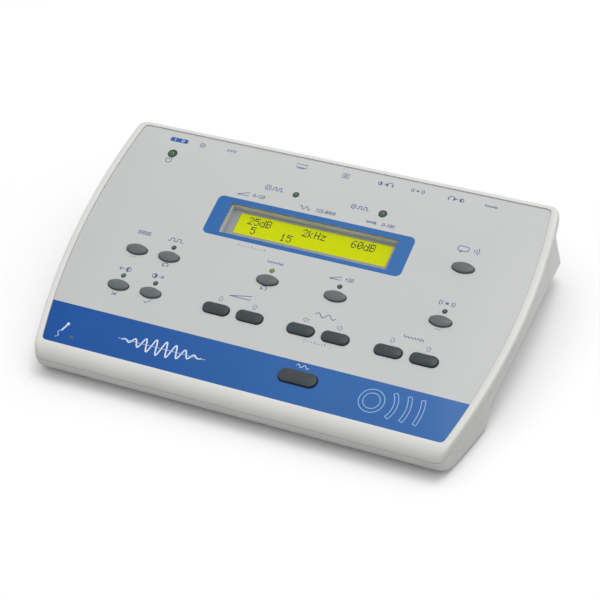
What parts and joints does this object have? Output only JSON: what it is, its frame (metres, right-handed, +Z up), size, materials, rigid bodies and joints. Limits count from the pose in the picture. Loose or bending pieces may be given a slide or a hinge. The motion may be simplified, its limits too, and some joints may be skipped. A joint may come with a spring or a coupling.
{
  "type": "desk audiometer",
  "caption": "Wedge-shaped desk instrument for hearing tests, with a bowed sloping panel, character display, push keys, lamps, side grips and a rear row of sockets.",
  "frame": {"origin": "under the middle of the object, on the surface that it stands on", "axes": "+X to the right of the person who uses it, +Y to the back with the sockets, +Z up"},
  "size_m": [0.2648, 0.1642, 0.0533],
  "materials": {
    "case_plastic": "fine spark-eroded texture",
    "printed_sheet": "back-printed polycarbonate sheet with a fine velvet grain",
    "clear_plate": "clear, polished",
    "display_glass": "lit yellow-green behind dark characters",
    "backlight": "satin light guide",
    "plated_metal": "nickel-plated",
    "circuit_board": "green solder mask",
    "cable": "grey flat cable",
    "black_plastic": "moulded, slightly satin",
    "rocker_plastic": "moulded, glossy",
    "grey_key": "moulded, satin",
    "dark_key": "moulded, satin",
    "lamp_lit_green": "tinted epoxy, lit",
    "lamp_lit_yellow": "tinted epoxy, lit",
    "lamp_dark_green": "tinted epoxy, unlit",
    "rubber": "moulded rubber",
    "rear_plate": "grey painted sheet",
    "screw_steel": "zinc-plated"
  },
  "bodies": {
    "case": {"upper_case": "case_plastic", "lower_case": "case_plastic", "panel_overlay": "printed_sheet", "display_window": "clear_plate", "lcd_bezel": "plated_metal", "lcd_glass": "display_glass", "lcd_backlight": "backlight", "lcd_board": "circuit_board", "lcd_cable": "cable", "keypad_board": "circuit_board", "key_switches": "black_plastic", "led_power": "lamp_lit_green", "led_present": "lamp_dark_green", "led_response": "lamp_dark_green", "led_pulse": "lamp_dark_green", "led_left": "lamp_lit_green", "led_right": "lamp_dark_green", "led_mask": "lamp_lit_yellow", "led_boost": "lamp_dark_green", "led_bone": "lamp_dark_green", "microphone": "plated_metal", "microphone_grommet": "rubber", "main_board": "circuit_board", "board_components": "black_plastic", "ribbon_cable": "cable", "rear_panel": "rear_plate", "power_switch": "black_plastic", "dc_inlet": "black_plastic", "usb_port": "plated_metal", "printer_port": "black_plastic", "jack_response": "black_plastic", "jack_right": "black_plastic", "jack_bone": "black_plastic", "jack_left": "black_plastic", "jack_insert": "black_plastic", "jack_nuts": "plated_metal", "rubber_feet": "rubber", "case_screws": "screw_steel", "board_screws": "screw_steel", "lcd_screws": "screw_steel", "rear_panel_screws": "screw_steel"},
    "menu_key": {"key_menu": "grey_key"},
    "pulse_key": {"key_pulse": "grey_key"},
    "left_key": {"key_left": "grey_key"},
    "right_key": {"key_right": "grey_key"},
    "mask_key": {"key_mask": "grey_key"},
    "boost_key": {"key_boost": "grey_key"},
    "talkover_key": {"key_talkover": "grey_key"},
    "bone_key": {"key_bone": "grey_key"},
    "signal_down_key": {"key_signal_down": "dark_key"},
    "signal_up_key": {"key_signal_up": "dark_key"},
    "frequency_down_key": {"key_frequency_down": "dark_key"},
    "frequency_up_key": {"key_frequency_up": "dark_key"},
    "masking_down_key": {"key_masking_down": "dark_key"},
    "masking_up_key": {"key_masking_up": "dark_key"},
    "present_key": {"key_present": "dark_key"},
    "rocker": {"power_rocker": "rocker_plastic"}
  },
  "joints": [
    {"name": "menu_press", "type": "slide", "parent": "case", "child": "menu_key", "axis": [0, 0.2164, -0.9763], "range_m": [0, 0.0009], "stiffness_N_per_m": 1500, "springref_m": -0.0002},
    {"name": "pulse_press", "type": "slide", "parent": "case", "child": "pulse_key", "axis": [0, 0.2164, -0.9763], "range_m": [0, 0.0009], "stiffness_N_per_m": 1500, "springref_m": -0.0002},
    {"name": "left_press", "type": "slide", "parent": "case", "child": "left_key", "axis": [0, 0.2164, -0.9763], "range_m": [0, 0.0009], "stiffness_N_per_m": 1500, "springref_m": -0.0002},
    {"name": "right_press", "type": "slide", "parent": "case", "child": "right_key", "axis": [0, 0.2164, -0.9763], "range_m": [0, 0.0009], "stiffness_N_per_m": 1500, "springref_m": -0.0002},
    {"name": "mask_press", "type": "slide", "parent": "case", "child": "mask_key", "axis": [0, 0.2164, -0.9763], "range_m": [0, 0.0009], "stiffness_N_per_m": 1500, "springref_m": -0.0002},
    {"name": "boost_press", "type": "slide", "parent": "case", "child": "boost_key", "axis": [0, 0.2164, -0.9763], "range_m": [0, 0.0009], "stiffness_N_per_m": 1500, "springref_m": -0.0002},
    {"name": "talkover_press", "type": "slide", "parent": "case", "child": "talkover_key", "axis": [0, 0.2164, -0.9763], "range_m": [0, 0.0009], "stiffness_N_per_m": 1500, "springref_m": -0.0002},
    {"name": "bone_press", "type": "slide", "parent": "case", "child": "bone_key", "axis": [0, 0.2164, -0.9763], "range_m": [0, 0.0009], "stiffness_N_per_m": 1500, "springref_m": -0.0002},
    {"name": "signal_down_press", "type": "slide", "parent": "case", "child": "signal_down_key", "axis": [0, 0.2164, -0.9763], "range_m": [0, 0.0009], "stiffness_N_per_m": 1500, "springref_m": -0.0002},
    {"name": "signal_up_press", "type": "slide", "parent": "case", "child": "signal_up_key", "axis": [0, 0.2164, -0.9763], "range_m": [0, 0.0009], "stiffness_N_per_m": 1500, "springref_m": -0.0002},
    {"name": "frequency_down_press", "type": "slide", "parent": "case", "child": "frequency_down_key", "axis": [0, 0.2164, -0.9763], "range_m": [0, 0.0009], "stiffness_N_per_m": 1500, "springref_m": -0.0002},
    {"name": "frequency_up_press", "type": "slide", "parent": "case", "child": "frequency_up_key", "axis": [0, 0.2164, -0.9763], "range_m": [0, 0.0009], "stiffness_N_per_m": 1500, "springref_m": -0.0002},
    {"name": "masking_down_press", "type": "slide", "parent": "case", "child": "masking_down_key", "axis": [0, 0.2164, -0.9763], "range_m": [0, 0.0009], "stiffness_N_per_m": 1500, "springref_m": -0.0002},
    {"name": "masking_up_press", "type": "slide", "parent": "case", "child": "masking_up_key", "axis": [0, 0.2164, -0.9763], "range_m": [0, 0.0009], "stiffness_N_per_m": 1500, "springref_m": -0.0002},
    {"name": "present_press", "type": "slide", "parent": "case", "child": "present_key", "axis": [0, 0.2164, -0.9763], "range_m": [0, 0.0009], "stiffness_N_per_m": 1500, "springref_m": -0.0002},
    {"name": "power_rock", "type": "hinge", "parent": "case", "child": "rocker", "pos_m": [-0.0988, 0.06358, 0.0245], "axis": [1, 0, 0], "range_deg": [-14, 0]}
  ]
}
